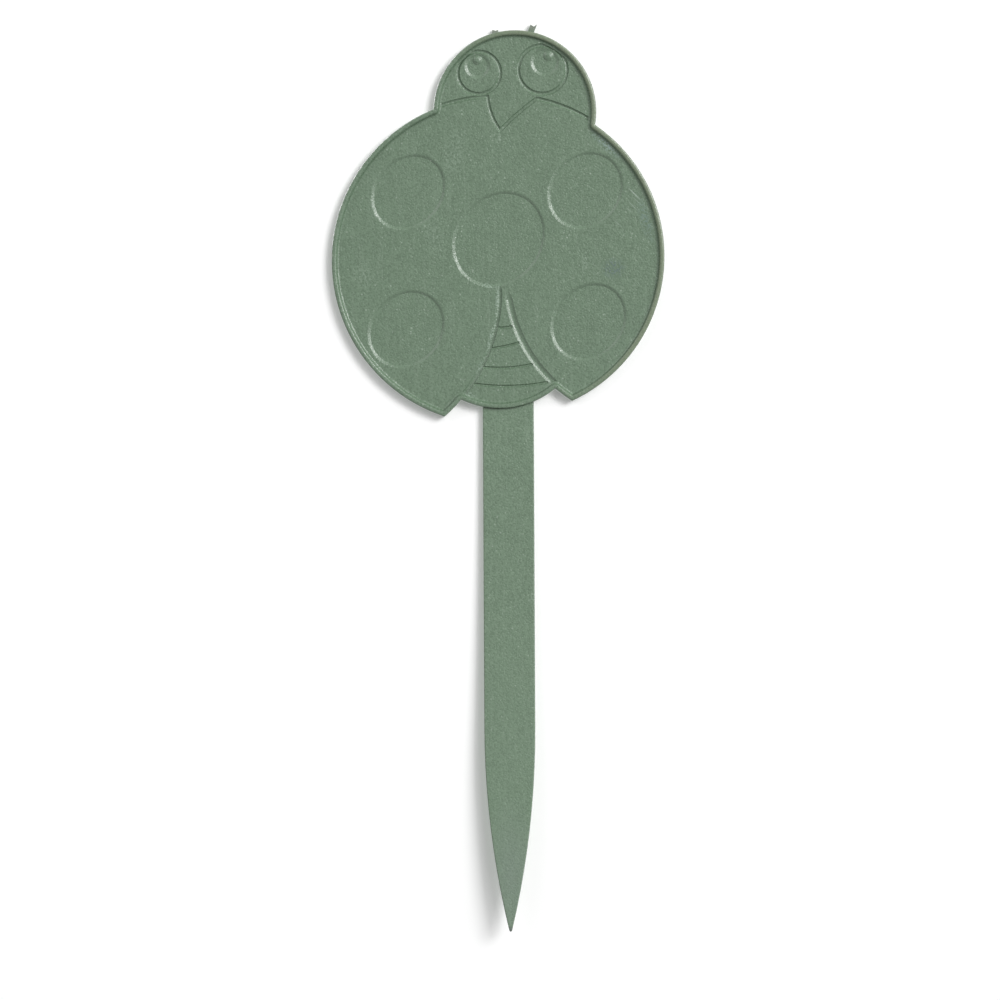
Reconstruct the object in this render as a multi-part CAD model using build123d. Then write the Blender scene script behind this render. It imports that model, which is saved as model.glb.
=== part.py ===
"""Plant label: a ladybird-shaped plate with a raised rim and engraved relief, on a flat pointed stake.

Millimetres. Z runs up the stake, X to the right of a person who faces the relief, and the relief faces -Y.
The origin lies on the stake's axis, in the middle of its thickness, at the plate's lower edge.
"""
import os
from math import atan2, degrees, sqrt

from build123d import *

# Stake: a flat blade with a long curved point
stake_width = 12.0
stake_thickness = 1.2
stake_length = 124.2           # plate's lower edge to the point, before its rounding
point_length = 49.0            # stretch over which the blade narrows
tip_radius = 0.35
stake_edge_radius = 0.3        # soft front edges

# Lap that joins the stake to the plate, on the back
tongue_length = 26.0           # reach above the plate's lower edge
tongue_thickness = 0.5
tongue_corner_radius = 3.0
lap_clearance = 0.05

# Plate outline: the head, the body and two wings. A wing's outer edge is an arc from its shoulder, which lies
# under the head, to its tip, and its inner edge is an arc from the tip back up to the middle spot
plate_thickness = 1.2          # back to the field inside the rim
head_center = (1.9, 69.65)
head_radius = 19.1
body_center_x = -1.95
body_radius = 20.6
left_shoulder = (-15.0, 71.1)
left_tip = (-14.95, -1.95)
left_inner_top = (-1.5, 28.7)
left_wing_bulge = 26.35        # of the arc over its chord
left_inner_bulge = 3.7
right_shoulder = (18.5, 67.85)
right_tip = (15.0, 1.6)
right_inner_top = (-0.85, 28.7)
right_wing_bulge = 20.1
right_inner_bulge = 3.75
wing_tip_radius = 0.5
inner_corner_radius = 0.3      # neck and the corners beside the body

# Rim all round the outline, in slopes: the rounded outer edge (width and rise of each slope), a narrow crest,
# and an inner wall that is steep between its rounded top and foot (width and drop of each slope)
rim_outer_edge = [(0.04, 0.18), (0.11, 0.14), (0.21, 0.08)]
rim_crest_width = 0.32
rim_inner_wall = [(0.14, 0.02), (0.20, 0.13), (0.36, 0.56), (0.20, 0.12), (0.18, 0.02)]

# Spots: shallow oval recesses with sloping walls (centre, half length, half width, turn in degrees)
spot_depth = 0.33
spot_wall_run = 0.6            # width of the sloping wall, seen from the front
spot_edge_radius = 0.8
spots = {
    "upper_left": ((-23.2, 50.9), 9.55, 7.95, 48),
    "upper_right": ((18.4, 51.1), 9.55, 8.3, 49),
    "middle": ((-2.0, 39.7), 11.85, 10.2, 52),
    "lower_left": ((-23.85, 18.7), 9.7, 8.4, 47),
    "lower_right": ((19.0, 20.25), 9.7, 8.25, 49),
}

# Engraved lines: round-bottomed grooves, in a few slopes to each side
groove_slopes = 3
groove_depth = 0.36
groove_overcut = 0.1           # height to which the cutter stands out of the field
groove_margin = 0.05           # grooves stop this far short of the rim's foot
collar_groove_width = 1.0      # upper edge of the wings, across the head, with its pointed notch
left_collar_rise = 0.2         # of the groove's middle above the wing's outline
right_collar_rise = 0.4
left_inner_groove_width = 1.2
right_inner_groove_width = 1.8
inner_groove_depth = 0.35
inner_groove_run_out = 1.8     # stretch over which its upper end fades out
left_inner_groove_top = 29.2
left_inner_groove_inset = 0.38  # of the groove's middle inside the wing's inner edge
right_inner_groove_top = 27.3
right_inner_groove_inset = 0.78
body_groove_width = 0.65
body_groove_depth = 0.3
eye_groove_width = 1.05

# Notch in the collar, between the eyes
notch_left_x = -4.6
notch_right_x = 7.0
notch_bottom = (-1.6, 65.25)
notch_left_radius = 15.0
notch_right_radius = 60.0

# Lines across the body (height at the left wing, height at the right wing, sag between them)
body_lines = [
    (18.9, 19.2, 0.15),
    (14.0, 15.4, 0.15),
    (9.65, 10.3, 0.5),
    (5.75, 6.05, 0.75),
]

# Eyes, placed from the head's centre: ring, sunken pupil, raised catch-light
left_eye_offset = (-8.47, 9.15)
left_eye_radius = 5.0
left_pupil_offset = (-8.8, 10.8)
left_pupil_radius = 3.0
left_glint_offset = (-8.8, 12.2)
left_glint_radius = 1.15
right_eye_offset = (6.48, 9.85)
right_eye_radius = 5.7
right_pupil_offset = (7.1, 11.7)
right_pupil_radius = 3.35
right_glint_offset = (7.95, 13.15)
right_glint_radius = 1.25
pupil_depth = 0.3
pupil_wall_run = 0.7
glint_height = 0.45            # above the pupil's floor

# Stubs of the two feelers, snapped off just above the head
stub_thickness = 0.9
stub_root = 0.5                # depth to which a stub runs into the head's rim
left_stub_offset_x = -4.55     # from the head's centre
left_stub_width = 1.4
left_stub_height = 0.75
left_stub_lean = 0.05          # sideways shift of the broken end
left_break_depth = 0.25        # of the ragged V in the broken end
right_stub_offset_x = 3.6
right_stub_width = 1.5
right_stub_height = 1.75
right_stub_lean = 0.95
right_break_depth = 0.55

# Ejector marks on the back: shallow round dents
ejector_radius = 2.5
ejector_depth = 0.15
head_ejector_rise = 8.0        # above the head's centre
plate_ejectors = [(-25.0, 35.0), (24.0, 36.0), (-8.0, 58.0), (10.0, 58.0)]
stake_ejectors = [-30.0, -70.0]


def level(height):
    """Drawing plane at a height above the back, facing the front."""
    return Plane.XZ.offset(height - stake_thickness / 2)


def disc(center, radius):
    return Pos(*center) * Circle(radius)


def from_head(offset_xz):
    return (head_center[0] + offset_xz[0], head_center[1] + offset_xz[1])


def top_of_circle(center, radius, x):
    """Point where an upright line at x leaves a circle at its upper side."""
    return (x, center[1] + sqrt(radius**2 - (x - center[0]) ** 2))


def on_collar(wing_edge, rise, x):
    """Point at x on the collar line that runs a little above a wing's outer edge."""
    return top_of_circle((wing_edge.arc_center.X, wing_edge.arc_center.Y), wing_edge.radius + rise, x)


def on_left_inner(z, inset=0):
    """Point at a height on the left wing's inner edge, or inset from it into the wing."""
    center, radius = left_inner.arc_center, left_inner.radius - inset
    return (center.X + sqrt(radius**2 - (z - center.Y) ** 2), z)


def on_right_inner(z, inset=0):
    """Point at a height on the right wing's inner edge, or inset from it into the wing."""
    center, radius = right_inner.arc_center, right_inner.radius - inset
    return (center.X - sqrt(radius**2 - (z - center.Y) ** 2), z)


def low_corners(sketch):
    """Corners of the outline below the body's centre, from left to right."""
    return sorted((v for v in sketch.vertices() if v.Y < body_center[1]), key=lambda v: v.X)


def recess(center, half_length, half_width, turn, depth, wall_run):
    """Oval dish below the field, with a sloping wall and a flat floor."""
    place = Pos(*center) * Rot(0, 0, turn)
    mouth = level(plate_thickness) * place * Ellipse(half_length, half_width)
    floor = level(plate_thickness - depth) * place * Ellipse(half_length - wall_run, half_width - wall_run)
    return loft([mouth, floor], ruled=True)


def groove(path, width, depth, corners):
    """Cutter for a groove along a path on the field. Its section is a parabola, drawn in straight slopes."""
    line = level(plate_thickness) * path
    shares = [step / groove_slopes for step in range(groove_slopes + 1)]
    shares.append(sqrt(1 + groove_overcut / depth))
    side = [(width / 2 * share, depth * (share**2 - 1)) for share in shares]
    half = Polygon(*side, (0, groove_overcut), align=None)
    across = Plane(line @ 0, x_dir=level(0).z_dir.cross(line % 0), z_dir=line % 0)
    return sweep(across * (half + mirror(half, Plane.YZ)), path=line, transition=corners)


def dome(center, radius, height, base):
    """Round cap of a given foot radius and height, standing on a base level."""
    ball_radius = (radius**2 + height**2) / (2 * height)
    ball_center = (level(base + height - ball_radius) * Pos(*center)).position
    return (Pos(ball_center) * Sphere(ball_radius)) & extrude(level(base) * disc(center, radius), height)


def stub(offset_x, width, height, lean, break_depth):
    """Remains of a feeler on top of the head, with a ragged V where it broke."""
    center_x, foot_z = top_of_circle(head_center, head_radius, head_center[0] + offset_x)
    side = Polygon(
        (center_x - width / 2, foot_z - stub_root),
        (center_x + width / 2, foot_z - stub_root),
        (center_x + width / 2 + lean, foot_z + height),
        (center_x + lean, foot_z + height - break_depth),
        (center_x - width / 2 + lean, foot_z + height),
        align=None,
    )
    return extrude(level((plate_thickness - stub_thickness) / 2) * side, stub_thickness)


# Plate outline
left_outer = SagittaArc(left_shoulder, left_tip, -left_wing_bulge)
left_inner = SagittaArc(left_tip, left_inner_top, -left_inner_bulge)
right_inner = SagittaArc(right_inner_top, right_tip, -right_inner_bulge)
right_outer = SagittaArc(right_tip, right_shoulder, -right_wing_bulge)
middle = Line(left_inner_top, right_inner_top)
across_head = Line(right_shoulder, left_shoulder)
wings = make_face([left_outer, left_inner, middle, right_inner, right_outer, across_head])
body_center = (body_center_x, sqrt(body_radius**2 - body_center_x**2))
outline = disc(head_center, head_radius) + wings + disc(body_center, body_radius)
necks = [v for v in outline.vertices() if v.Y > body_center[1]]
outline = fillet(necks + low_corners(outline)[1:3], inner_corner_radius)
outline = fillet([low_corners(outline)[0], low_corners(outline)[-1]], wing_tip_radius)

# Stake outline, from the point to the end of its tongue
half_width = stake_width / 2
point_top = point_length - stake_length
blade_sides = Polyline(
    (half_width, point_top),
    (half_width, tongue_length),
    (-half_width, tongue_length),
    (-half_width, point_top),
)
blade_point = [
    TangentArc((x, point_top), (0, -stake_length), tangent=(0, -1)) for x in (half_width, -half_width)
]
blade = make_face([blade_sides, *blade_point])
blade = fillet(blade.vertices().sort_by(Axis.Y)[0], tip_radius)
blade = fillet(blade.vertices().sort_by(Axis.Y)[-2:], tongue_corner_radius)

# Plate blank with its rim
rim_height = sum(drop for _, drop in rim_inner_wall)
inset, height = 0, plate_thickness + rim_height - sum(rise for _, rise in rim_outer_edge)
plate = extrude(level(0) * outline, height)
foot = outline
for width, rise in rim_outer_edge:
    plate += extrude(level(height) * foot, rise, taper=degrees(atan2(width, rise)))
    inset, height = inset + width, height + rise
    foot = offset(outline, -inset)
inset += rim_crest_width
for width, drop in rim_inner_wall:
    inset, height = inset + width, height - drop
    field = offset(outline, -inset)
    plate -= extrude(level(height) * field, drop, taper=-degrees(atan2(width, drop)))

# Spots, with the edge between each of them and the field rounded over
for center, half_length, half_width, turn in spots.values():
    plate -= recess(center, half_length, half_width, turn, spot_depth, spot_wall_run)
field_face = plate.faces().filter_by(Axis.Y).sort_by(Axis.Y)[1]
plate = fillet([edge for mouth in field_face.inner_wires() for edge in mouth.edges()], spot_edge_radius)

# Pupils and the catch-lights in them
eyes = [
    (left_pupil_offset, left_pupil_radius, left_glint_offset, left_glint_radius),
    (right_pupil_offset, right_pupil_radius, right_glint_offset, right_glint_radius),
]
for pupil, pupil_radius, glint, glint_radius in eyes:
    plate -= recess(from_head(pupil), pupil_radius, pupil_radius, 0, pupil_depth, pupil_wall_run)
    plate += dome(from_head(glint), glint_radius, glint_height, plate_thickness - pupil_depth)

# Paths of the engraved lines: the collar with its notch
left_end = on_collar(left_outer, left_collar_rise, head_center[0] - head_radius)
right_end = on_collar(right_outer, right_collar_rise, head_center[0] + head_radius)
notch_left = on_collar(left_outer, left_collar_rise, notch_left_x)
notch_right = on_collar(right_outer, right_collar_rise, notch_right_x)
collar = Wire(
    [
        RadiusArc(left_end, notch_left, left_outer.radius + left_collar_rise),
        RadiusArc(notch_left, notch_bottom, -notch_left_radius),
        RadiusArc(notch_bottom, notch_right, notch_right_radius),
        RadiusArc(notch_right, right_end, right_outer.radius + right_collar_rise),
    ]
)
lines = [(collar, collar_groove_width, groove_depth, Transition.ROUND)]

# The wings' inner edges, from under the middle spot, where the groove's bottom rises to the field, to the rim
left_top, left_start, left_foot = [
    on_left_inner(z, left_inner_groove_inset)
    for z in (left_inner_groove_top, left_inner_groove_top - inner_groove_run_out, left_tip[1])
]
left_run = RadiusArc(left_start, left_foot, left_inner.radius - left_inner_groove_inset)
right_top, right_start, right_foot = [
    on_right_inner(z, right_inner_groove_inset)
    for z in (right_inner_groove_top, right_inner_groove_top - inner_groove_run_out, right_tip[1])
]
right_run = RadiusArc(right_start, right_foot, -(right_inner.radius - right_inner_groove_inset))
for top, start, run, width in (
    (left_top, left_start, left_run, left_inner_groove_width),
    (right_top, right_start, right_run, right_inner_groove_width),
):
    fade = Line((*top, inner_groove_depth), start)
    lines.append((Wire([fade, run]), width, inner_groove_depth, Transition.RIGHT))

# The lines across the body and the rings of the eyes
for left_height, right_height, sag in body_lines:
    across = SagittaArc(on_left_inner(left_height), on_right_inner(right_height), -sag)
    lines.append((across, body_groove_width, body_groove_depth, Transition.ROUND))
for eye, eye_radius in ((left_eye_offset, left_eye_radius), (right_eye_offset, right_eye_radius)):
    ring = CenterArc(from_head(eye), eye_radius, 0, 360)
    lines.append((ring, eye_groove_width, groove_depth, Transition.ROUND))

# Engraving, kept inside the rim
field_zone = extrude(level(0) * offset(field, -groove_margin), plate_thickness + rim_height)
for path, width, depth, corners in lines:
    plate -= groove(path, width, depth, corners) & field_zone

# Feeler stubs
plate += stub(left_stub_offset_x, left_stub_width, left_stub_height, left_stub_lean, left_break_depth)
plate += stub(right_stub_offset_x, right_stub_width, right_stub_height, right_stub_lean, right_break_depth)

# Back of the plate: pocket for the tongue, ejector marks
plate -= extrude(level(0) * offset(blade, lap_clearance), tongue_thickness)
for mark in [*plate_ejectors, from_head((0, head_ejector_rise))]:
    plate -= extrude(level(0) * disc(mark, ejector_radius), ejector_depth)

# Stake, cut back to its tongue where the plate lies over it
stake = extrude(level(0) * blade, stake_thickness)
stake = fillet(stake.faces().sort_by(Axis.Y)[0].edges(), stake_edge_radius)
stake -= extrude(level(tongue_thickness) * offset(outline, lap_clearance), plate_thickness + rim_height)
for mark_z in stake_ejectors:
    stake -= extrude(level(0) * disc((0, mark_z), ejector_radius), ejector_depth)

os.makedirs("parts", exist_ok=True)
export_step(plate, "parts/label_plate.step")
export_step(stake, "parts/stake.step")
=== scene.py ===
from math import radians

import bpy
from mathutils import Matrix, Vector


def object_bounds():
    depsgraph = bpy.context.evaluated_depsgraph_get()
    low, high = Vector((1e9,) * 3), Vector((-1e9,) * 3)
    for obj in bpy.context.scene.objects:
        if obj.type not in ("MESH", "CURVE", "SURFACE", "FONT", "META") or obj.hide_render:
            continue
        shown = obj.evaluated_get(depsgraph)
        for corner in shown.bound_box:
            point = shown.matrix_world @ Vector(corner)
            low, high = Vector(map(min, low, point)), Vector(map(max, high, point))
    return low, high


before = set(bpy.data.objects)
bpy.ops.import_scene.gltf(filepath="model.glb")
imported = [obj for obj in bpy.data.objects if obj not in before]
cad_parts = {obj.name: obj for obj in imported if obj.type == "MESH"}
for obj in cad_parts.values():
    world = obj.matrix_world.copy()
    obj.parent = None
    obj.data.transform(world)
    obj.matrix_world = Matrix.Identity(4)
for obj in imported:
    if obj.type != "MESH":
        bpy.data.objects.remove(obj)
cad_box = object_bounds()


# Label plate: the ladybird with its rim, spots and engraved lines, moulded in sage-green polystyrene. The
# mould's front was spark-eroded, which leaves a fine grain. The plate has been handled, so it has pale
# specks, faint rubbed streaks, a few scratches and a dark smudge. The pale strokes beside its lines are
# painted highlights.
def linear(hex_colour):
    """Colour written as sRGB hex, as the linear values that a shader needs."""
    parts = [int(hex_colour[i:i + 2], 16) / 255 for i in (1, 3, 5)]
    return (*[p / 12.92 if p <= 0.04045 else ((p + 0.055) / 1.055) ** 2.4 for p in parts], 1.0)


def add(tree, kind, settings, sockets):
    """Add a node, make its settings, and give its sockets their values or links."""
    made = tree.nodes.new(kind)
    for name, value in settings.items():
        setattr(made, name, value)
    for name, value in sockets.items():
        if isinstance(value, bpy.types.NodeSocket):
            tree.links.new(value, made.inputs[name])
        else:
            made.inputs[name].default_value = value
    return made


# Sizes in the plastic's surface, in metres. A real grain is about 0.1 mm wide, and is drawn wider here so
# that it shows.
grain_width = 0.0004
grain_depth = 0.000095
mottle_width = 0.003
cloud_width = 0.012
speck_spacing = 0.0012
streak_width = 0.0008
streak_length = 0.014
edge_softness = 0.0001

# How much of each shows: clouds among the mottling, both of them beside the grain, specks, streaks, and the
# grain on the walls and the back, which are smoother so that the label leaves the mould.
cloud_share = 0.4
drift_share = 0.3
speck_share = 0.6
streak_share = 0.4
back_grain = 0.3

# Roughness in the grain's hollows and on its tops, and the IOR of polystyrene.
hollow_roughness = 0.12
top_roughness = 0.49
polystyrene_ior = 1.59


def moulded_polystyrene(name, colour, pale, dark, speck, rubbed):
    """Grained plastic with soft edges. The grain breaks up the light into fine points, which glint on the
    slopes that face the lamp. Handling has left pale specks in clusters and faint streaks lengthwise."""
    material = bpy.data.materials.new(name)
    material.use_nodes = True
    tree = material.node_tree
    tree.nodes.clear()
    here = add(tree, "ShaderNodeTexCoord", {"name": "place"}, {})
    place = here.outputs["Object"]
    grain = add(tree, "ShaderNodeTexNoise", {"name": "grain"}, {
        "Vector": place, "Scale": 1 / grain_width, "Detail": 1.0})
    mottle = add(tree, "ShaderNodeTexNoise", {}, {"Vector": place, "Scale": 1 / mottle_width, "Detail": 2.0})
    cloud = add(tree, "ShaderNodeTexNoise", {}, {"Vector": place, "Scale": 1 / cloud_width, "Detail": 2.0})
    # A Mix node's sockets go by number: 0 is the share, 2 and 3 take plain values, 6 and 7 take colours.
    drift = add(tree, "ShaderNodeMix", {}, {
        0: cloud_share, 2: mottle.outputs["Fac"], 3: cloud.outputs["Fac"]})
    fleck = add(tree, "ShaderNodeMix", {}, {
        0: drift_share, 2: grain.outputs["Fac"], 3: drift.outputs[0]})
    spread = add(tree, "ShaderNodeMapRange", {}, {
        "Value": fleck.outputs[0], "From Min": 0.25, "From Max": 0.75})
    ramp = add(tree, "ShaderNodeValToRGB", {}, {"Fac": spread.outputs["Result"]})
    ramp.color_ramp.elements[0].color = linear(dark)
    ramp.color_ramp.elements[1].color = linear(pale)
    ramp.color_ramp.elements.new(0.5).color = linear(colour)
    dots = add(tree, "ShaderNodeTexVoronoi", {}, {"Vector": place, "Scale": 1 / speck_spacing})
    dot = add(tree, "ShaderNodeMapRange", {}, {
        "Value": dots.outputs["Distance"], "From Min": 0.2, "From Max": 0.1, "To Max": speck_share})
    cluster = add(tree, "ShaderNodeMapRange", {}, {
        "Value": mottle.outputs["Fac"], "From Min": 0.48, "From Max": 0.62})
    specks = add(tree, "ShaderNodeMath", {"operation": "MULTIPLY"}, {
        0: dot.outputs["Result"], 1: cluster.outputs["Result"]})
    dotted = add(tree, "ShaderNodeMix", {"data_type": "RGBA"}, {
        0: specks.outputs[0], 6: ramp.outputs["Color"], 7: linear(speck)})
    along = add(tree, "ShaderNodeMapping", {}, {
        "Vector": place, "Scale": (1 / streak_width, 1 / streak_length, 1 / streak_length)})
    streak = add(tree, "ShaderNodeTexNoise", {}, {
        "Vector": along.outputs["Vector"], "Scale": 1.0, "Detail": 2.0})
    wear = add(tree, "ShaderNodeMapRange", {}, {
        "Value": streak.outputs["Fac"], "From Min": 0.52, "From Max": 0.75, "To Max": streak_share})
    worn = add(tree, "ShaderNodeMix", {"data_type": "RGBA"}, {
        0: wear.outputs["Result"], 6: dotted.outputs[2], 7: linear(rubbed)})
    rough = add(tree, "ShaderNodeMapRange", {}, {
        "Value": grain.outputs["Fac"], "To Min": hollow_roughness, "To Max": top_roughness})
    # The front faces -Y. The grain grows from the walls' share to its full depth as a face turns that way.
    normal = add(tree, "ShaderNodeSeparateXYZ", {}, {"Vector": here.outputs["Normal"]})
    grained = add(tree, "ShaderNodeMapRange", {}, {
        "Value": normal.outputs["Y"], "From Min": -0.1, "From Max": -0.35, "To Min": back_grain})
    soft = add(tree, "ShaderNodeBevel", {"samples": 6}, {"Radius": edge_softness})
    bump = add(tree, "ShaderNodeBump", {}, {
        "Strength": grained.outputs["Result"], "Distance": grain_depth,
        "Height": grain.outputs["Fac"], "Normal": soft.outputs["Normal"]})
    shader = add(tree, "ShaderNodeBsdfPrincipled", {}, {
        "Base Color": worn.outputs[2], "Roughness": rough.outputs["Result"],
        "IOR": polystyrene_ior, "Normal": bump.outputs["Normal"]})
    add(tree, "ShaderNodeOutputMaterial", {}, {"Surface": shader.outputs["BSDF"]})
    return material


def lay_colour(material, share, hex_colour):
    """Lay a colour over the plastic's colour so far, by a share of 0 to 1."""
    tree = material.node_tree
    base = tree.nodes["Principled BSDF"].inputs["Base Color"]
    mixed = add(tree, "ShaderNodeMix", {"data_type": "RGBA"}, {
        0: share, 6: base.links[0].from_socket, 7: linear(hex_colour)})
    tree.links.new(mixed.outputs[2], base)


front_y = -0.0006
mark_depth = 0.0008


def put_marks(material, marks):
    """Lay marks on the front, each an oval that fades towards its edge: centre across and up, half length,
    half width, turn in degrees, colour, strength, and whether the grain breaks it up."""
    tree = material.node_tree
    broken = add(tree, "ShaderNodeMapRange", {}, {
        "Value": tree.nodes["grain"].outputs["Fac"], "From Min": 0.42, "From Max": 0.62})
    for x, z, half_length, half_width, turn, colour, strength, grainy in marks:
        oval = add(tree, "ShaderNodeMapping", {"vector_type": "TEXTURE"}, {
            "Vector": tree.nodes["place"].outputs["Object"], "Location": (x, front_y, z),
            "Rotation": (0, radians(turn), 0), "Scale": (half_length, mark_depth, half_width)})
        fade = add(tree, "ShaderNodeTexGradient", {"gradient_type": "SPHERICAL"}, {
            "Vector": oval.outputs["Vector"]})
        full = add(tree, "ShaderNodeMath", {"operation": "MULTIPLY"}, {0: fade.outputs["Fac"], 1: strength})
        share = add(tree, "ShaderNodeMath", {"operation": "MULTIPLY"}, {
            0: full.outputs[0], 1: broken.outputs["Result"] if grainy else 1.0})
        lay_colour(material, share.outputs[0], colour)


label_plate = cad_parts["label_plate"]
label_plate.data.materials.clear()
plate_plastic = moulded_polystyrene(
    "polystyrene_spark_eroded", "#5d735d", "#697f69", "#526752", "#a0afa0", "#718571")
label_plate.data.materials.append(plate_plastic)

# Marks on the plate, from scratches to the feelers' snapped stubs. A real scratch is finer than drawn here.
scratched = "#b9c8bd"
smudged = "#435559"
bluish = "#5f7672"
chalked = "#93a7a8"
dusted = "#8b9d8c"
painted_highlight = "#a1b2a6"
snapped = "#8e8b86"
put_marks(plate_plastic, [
    (0.0299, 0.0502, 0.0030, 0.00020, 45, scratched, 0.6, False),
    (0.0306, 0.0484, 0.0017, 0.00018, 45, scratched, 0.25, False),
    (0.0296, 0.0473, 0.0020, 0.00018, 45, scratched, 0.35, False),
    (0.0286, 0.0464, 0.0014, 0.00018, 45, scratched, 0.25, False),
    (0.0259, 0.0433, 0.0018, 0.00018, 45, scratched, 0.25, False),
    (0.0249, 0.0327, 0.0032, 0.00280, 0, smudged, 1.0, True),
    (0.0325, 0.0440, 0.0065, 0.00170, 75, bluish, 0.7, True),
    (0.0232, 0.0618, 0.0055, 0.00130, 42, chalked, 0.6, True),
    (-0.0122, 0.0599, 0.0070, 0.00320, 100, dusted, 0.35, True),
    (-0.0172, 0.0400, 0.0048, 0.00260, 70, dusted, 0.4, True),
    (-0.0335, 0.0318, 0.0040, 0.00300, 90, dusted, 0.3, True),
    (0.0183, 0.0345, 0.0036, 0.00100, 90, dusted, 0.5, True),
    (-0.0016, 0.0634, 0.0016, 0.00100, 90, dusted, 0.7, True),
    # The pale strokes below the middle spot and along the line beneath it are painted highlights on walls
    # that face the lamp.
    (-0.0043, 0.0287, 0.0030, 0.00070, 17, painted_highlight, 0.5, True),
    (-0.0024, 0.0251, 0.0052, 0.00060, 94, painted_highlight, 0.8, True),
    (-0.0040, 0.0166, 0.0056, 0.00060, 106, painted_highlight, 0.8, True),
    (-0.0064, 0.0100, 0.0030, 0.00060, 117, painted_highlight, 0.8, True),
    (-0.0089, 0.0032, 0.0018, 0.00110, 20, painted_highlight, 0.5, True),
    (-0.0027, 0.0888, 0.0022, 0.00140, 0, snapped, 0.6, False),
    (0.0061, 0.0898, 0.0022, 0.00180, 0, snapped, 0.6, False),
])

# The rim's crest is painted warm tan on the side that faces the key lamp, a painted sheen where light falls.
crest_foot = -0.00095
crest_top = -0.0013
lit_way = (0.95, 0.0, 0.30)
unlit_end = 0.012
lit_end = 0.030
crest_sheen = "#6b7961"
tree = plate_plastic.node_tree
place = tree.nodes["place"].outputs["Object"]
height = add(tree, "ShaderNodeSeparateXYZ", {}, {"Vector": place}).outputs["Y"]
crest = add(tree, "ShaderNodeMapRange", {}, {"Value": height, "From Min": crest_foot, "From Max": crest_top})
lampward = add(tree, "ShaderNodeVectorMath", {"operation": "DOT_PRODUCT"}, {0: place, 1: lit_way})
lit_share = add(tree, "ShaderNodeMapRange", {}, {
    "Value": lampward.outputs["Value"], "From Min": unlit_end, "From Max": lit_end})
lit_crest = add(tree, "ShaderNodeMath", {"operation": "MULTIPLY"}, {
    0: crest.outputs["Result"], 1: lit_share.outputs["Result"]})
lay_colour(plate_plastic, lit_crest.outputs[0], crest_sheen)


# Stake: the flat blade under the plate, of the same plastic, lapped into a pocket in the plate's back. Its
# colour is made paler towards the point. The point is worn grey, with soil left at its very end.
paling_top = -0.020
paling_low = -0.110
paling_share = 0.35
paler_green = "#6d836d"
worn_grey = "#718074"
soiled = "#46454b"
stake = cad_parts["stake"]
stake.data.materials.clear()
blade_plastic = moulded_polystyrene(
    "polystyrene_scoured", "#617761", "#6d836d", "#566b56", "#a0afa0", "#768a76")
stake.data.materials.append(blade_plastic)
tree = blade_plastic.node_tree
height = add(tree, "ShaderNodeSeparateXYZ", {}, {"Vector": tree.nodes["place"].outputs["Object"]})
paling = add(tree, "ShaderNodeMapRange", {}, {
    "Value": height.outputs["Z"], "From Min": paling_top, "From Max": paling_low, "To Max": paling_share})
lay_colour(blade_plastic, paling.outputs["Result"], paler_green)
put_marks(blade_plastic, [
    (0.0, -0.1105, 0.0200, 0.00700, 90, worn_grey, 0.65, False),
    (0.0, -0.1231, 0.0016, 0.00140, 90, soiled, 0.9, False),
])


# Sheet of white paper that the label lies on. The ladybird's head touches it, and from there it curves away,
# to a few millimetres under the point, whose shadow is wide and soft. The sheet is one-sided, so that the
# label's back can be seen too.
sheet_side = 0.9
sheet_rows = 300
contact_gap = 0.00004
curve_top = 0.075
point_gap = 0.0047
curve_power = 3.0
low, high = cad_box
middle = (low + high) / 2
bpy.ops.object.select_all(action="DESELECT")
bpy.ops.mesh.primitive_grid_add(
    x_subdivisions=2, y_subdivisions=sheet_rows, size=sheet_side,
    location=(middle.x, high.y + contact_gap, middle.z), rotation=(radians(90), 0, 0),
)
paper = bpy.context.object
paper.name = "paper_sheet"
bpy.ops.object.transform_apply(location=True, rotation=True, scale=True)
for corner in paper.data.vertices:
    way_down = max((curve_top - corner.co.z) / (curve_top - low.z), 0)
    corner.co.y += point_gap * way_down**curve_power


def seen(tree):
    """1 where the background is looked at, straight or in a reflection or through glass, and otherwise 0."""
    path = add(tree, "ShaderNodeLightPath", {}, {})
    straight = add(tree, "ShaderNodeMath", {"operation": "ADD"}, {
        0: path.outputs["Is Camera Ray"], 1: path.outputs["Is Glossy Ray"]})
    return add(tree, "ShaderNodeMath", {"operation": "ADD", "use_clamp": True}, {
        0: straight.outputs[0], 1: path.outputs["Is Transmission Ray"]}).outputs[0]


# Matt paper spreads light evenly. A glow where it is looked at lifts it to white, and the shadow stays.
paper_colour = "#f7f7f7"
paper_glow = "#666666"
matt_paper = bpy.data.materials.new("matt_paper")
matt_paper.use_nodes = True
tree = matt_paper.node_tree
tree.nodes.clear()
facing = add(tree, "ShaderNodeNewGeometry", {}, {})
matt = add(tree, "ShaderNodeBsdfDiffuse", {}, {"Color": linear(paper_colour)})
glow = add(tree, "ShaderNodeEmission", {}, {"Strength": seen(tree), "Color": linear(paper_glow)})
front = add(tree, "ShaderNodeAddShader", {}, {0: matt.outputs["BSDF"], 1: glow.outputs["Emission"]})
clear = add(tree, "ShaderNodeBsdfTransparent", {}, {})
one_sided = add(tree, "ShaderNodeMixShader", {}, {
    0: facing.outputs["Backfacing"], 1: front.outputs["Shader"], 2: clear.outputs["BSDF"]})
add(tree, "ShaderNodeOutputMaterial", {}, {"Surface": one_sided.outputs["Shader"]})
paper.data.materials.append(matt_paper)
paper.visible_diffuse = False
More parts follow.
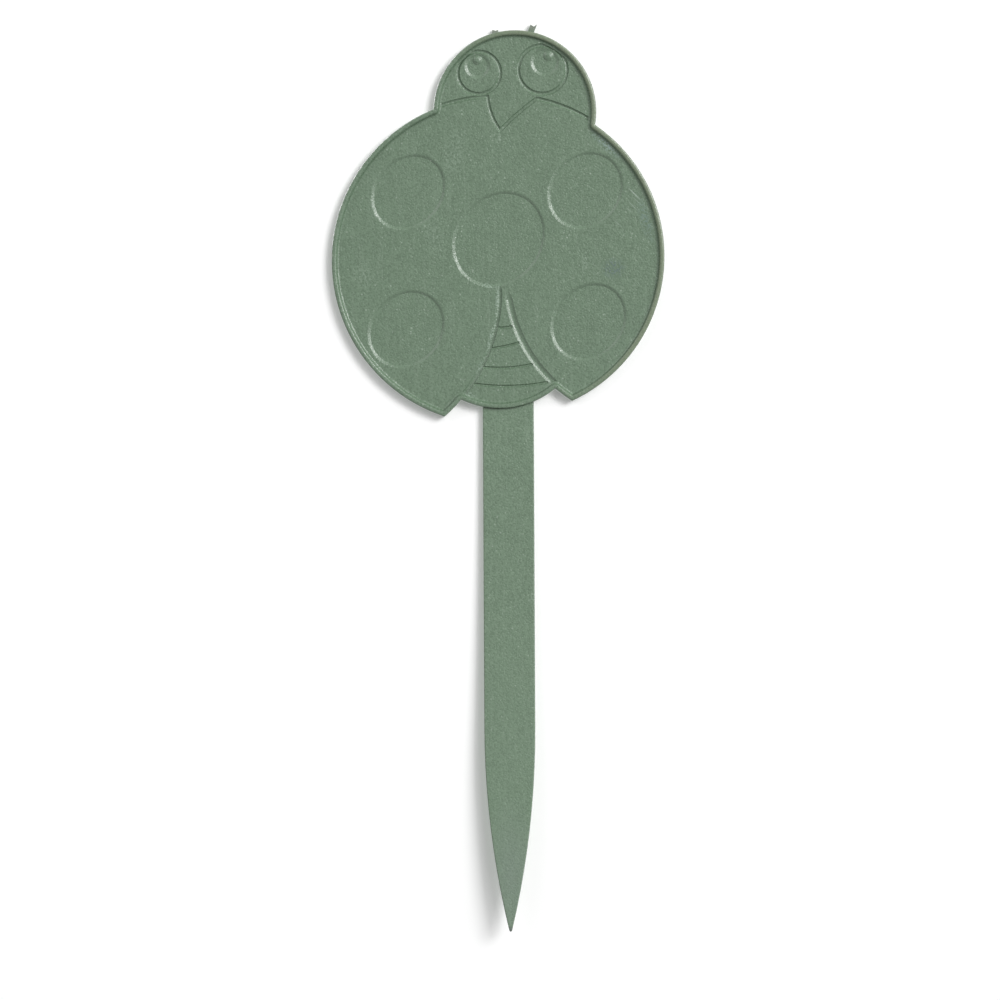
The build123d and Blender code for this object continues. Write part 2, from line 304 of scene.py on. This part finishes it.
paper.visible_glossy = False
paper.visible_transmission = False
paper.visible_shadow = False


# Light: a softbox at the upper right gives most of it. Its middle is brighter, so it is a small lamp and a
# large one in the same place. A weak lamp at the upper left and the white studio all round fill its shadows.
# A lamp behind lights the label's back and doesn't reach its front.
lamp_distance = 8.0
key_direction = Vector((0.633, -0.669, 0.388))
side_direction = Vector((-0.650, -0.530, 0.545))
back_direction = Vector((-0.50, 0.76, 0.41))
for name, direction, size, watts in (
    ("key_lamp_middle", key_direction, 2.8, 365.0),
    ("key_lamp_edge", key_direction, 7.2, 405.0),
    ("side_lamp", side_direction, 5.4, 140.0),
    ("back_lamp", back_direction, 5.4, 600.0),
):
    lamp_data = bpy.data.lights.new(name, "AREA")
    lamp_data.energy = watts
    lamp_data.size = size
    lamp = bpy.data.objects.new(name, lamp_data)
    lamp.location = middle + direction.normalized() * lamp_distance
    lamp.rotation_euler = direction.to_track_quat("Z", "Y").to_euler()
    bpy.context.collection.objects.link(lamp)

fill_level = 0.24
white_level = 1.0
world = bpy.data.worlds.new("white_studio")
bpy.context.scene.world = world
world.use_nodes = True
tree = world.node_tree
tree.nodes.clear()
level = add(tree, "ShaderNodeMapRange", {}, {
    "Value": seen(tree), "To Min": fill_level, "To Max": white_level})
studio = add(tree, "ShaderNodeBackground", {}, {
    "Color": linear("#ffffff"), "Strength": level.outputs["Result"]})
add(tree, "ShaderNodeOutputWorld", {}, {"Surface": studio.outputs["Background"]})
bpy.context.scene.view_settings.view_transform = "Standard"


# Camera: straight in front of the label, which lies a quarter of a degree askew in the picture.
lens = 135.0
sensor = 36.0
picture_width = 0.235
picture_center = (-0.00204, -0.02159)
roll = radians(0.275)
camera_data = bpy.data.cameras.new("camera")
camera_data.lens = lens
camera_data.sensor_width = sensor
camera = bpy.data.objects.new("camera", camera_data)
camera.location = (picture_center[0], front_y - picture_width * lens / sensor, picture_center[1])
camera.rotation_euler = (radians(90), roll, 0)
bpy.context.collection.objects.link(camera)
bpy.context.scene.camera = camera
